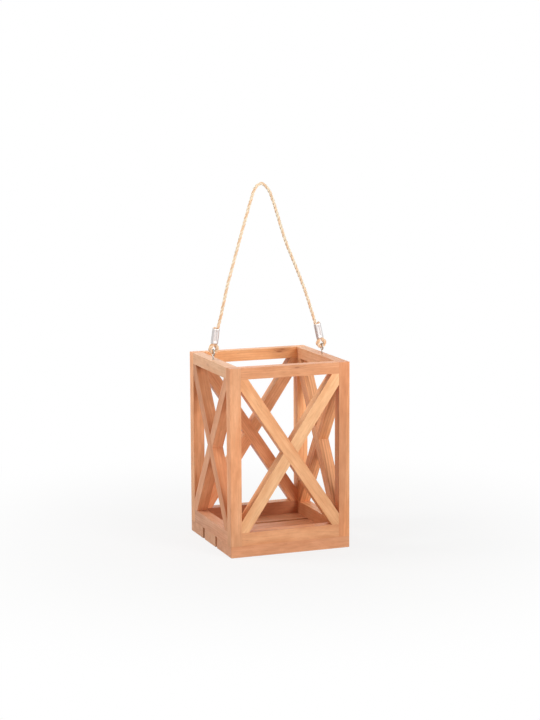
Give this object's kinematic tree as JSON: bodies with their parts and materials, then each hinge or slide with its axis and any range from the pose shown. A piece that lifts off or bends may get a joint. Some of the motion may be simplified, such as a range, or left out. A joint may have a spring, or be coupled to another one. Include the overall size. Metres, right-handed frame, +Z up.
{
  "type": "hanging lantern",
  "caption": "Open wooden lantern frame with crossed braces on each side, a slatted floor for a candle and a twisted rope handle that swings in two screw eyes.",
  "frame": {"origin": "on the ground under the middle of the square wooden body", "axes": "+X to the lantern's right, towards the right screw eye; +Y to the back; +Z up through the open top"},
  "size_m": [0.2006, 0.2, 0.58],
  "materials": {
    "frame_wood": "bare planed softwood, warm orange",
    "brace_wood": "bare planed softwood, paler",
    "slat_wood": "bare planed softwood, darker",
    "dowel_wood": "plain beech dowel",
    "rope": "three-strand twisted natural fibre",
    "ferrule": "plain, crimped",
    "steel": "zinc plated"
  },
  "bodies": {
    "lantern": {"front_left_post": "frame_wood", "front_right_post": "frame_wood", "back_left_post": "frame_wood", "back_right_post": "frame_wood", "front_top_rail": "frame_wood", "front_bottom_rail": "frame_wood", "right_top_rail": "frame_wood", "right_bottom_rail": "frame_wood", "back_top_rail": "frame_wood", "back_bottom_rail": "frame_wood", "left_top_rail": "frame_wood", "left_bottom_rail": "frame_wood", "front_rising_brace": "brace_wood", "front_falling_brace": "brace_wood", "right_rising_brace": "brace_wood", "right_falling_brace": "brace_wood", "back_rising_brace": "brace_wood", "back_falling_brace": "brace_wood", "left_rising_brace": "brace_wood", "left_falling_brace": "brace_wood", "front_top_dowel_start": "dowel_wood", "front_top_dowel_end": "dowel_wood", "front_bottom_dowel_start": "dowel_wood", "front_bottom_dowel_end": "dowel_wood", "right_top_dowel_start": "dowel_wood", "right_top_dowel_end": "dowel_wood", "right_bottom_dowel_start": "dowel_wood", "right_bottom_dowel_end": "dowel_wood", "back_top_dowel_start": "dowel_wood", "back_top_dowel_end": "dowel_wood", "back_bottom_dowel_start": "dowel_wood", "back_bottom_dowel_end": "dowel_wood", "left_top_dowel_start": "dowel_wood", "left_top_dowel_end": "dowel_wood", "left_bottom_dowel_start": "dowel_wood", "left_bottom_dowel_end": "dowel_wood", "front_slat": "slat_wood", "middle_slat": "slat_wood", "back_slat": "slat_wood", "left_nail_1": "steel", "left_nail_2": "steel", "left_nail_3": "steel", "left_nail_4": "steel", "left_nail_5": "steel", "left_nail_6": "steel", "right_nail_1": "steel", "right_nail_2": "steel", "right_nail_3": "steel", "right_nail_4": "steel", "right_nail_5": "steel", "right_nail_6": "steel", "left_screw_eye": "steel", "right_screw_eye": "steel"},
    "handle": {"rope": "rope", "left_ferrule": "ferrule", "right_ferrule": "ferrule"}
  },
  "joints": [
    {"name": "handle_swing", "type": "hinge", "parent": "lantern", "child": "handle", "pos_m": [0, 0, 0.3118], "axis": [1, 0, 0], "range_deg": [-90, 90]}
  ]
}
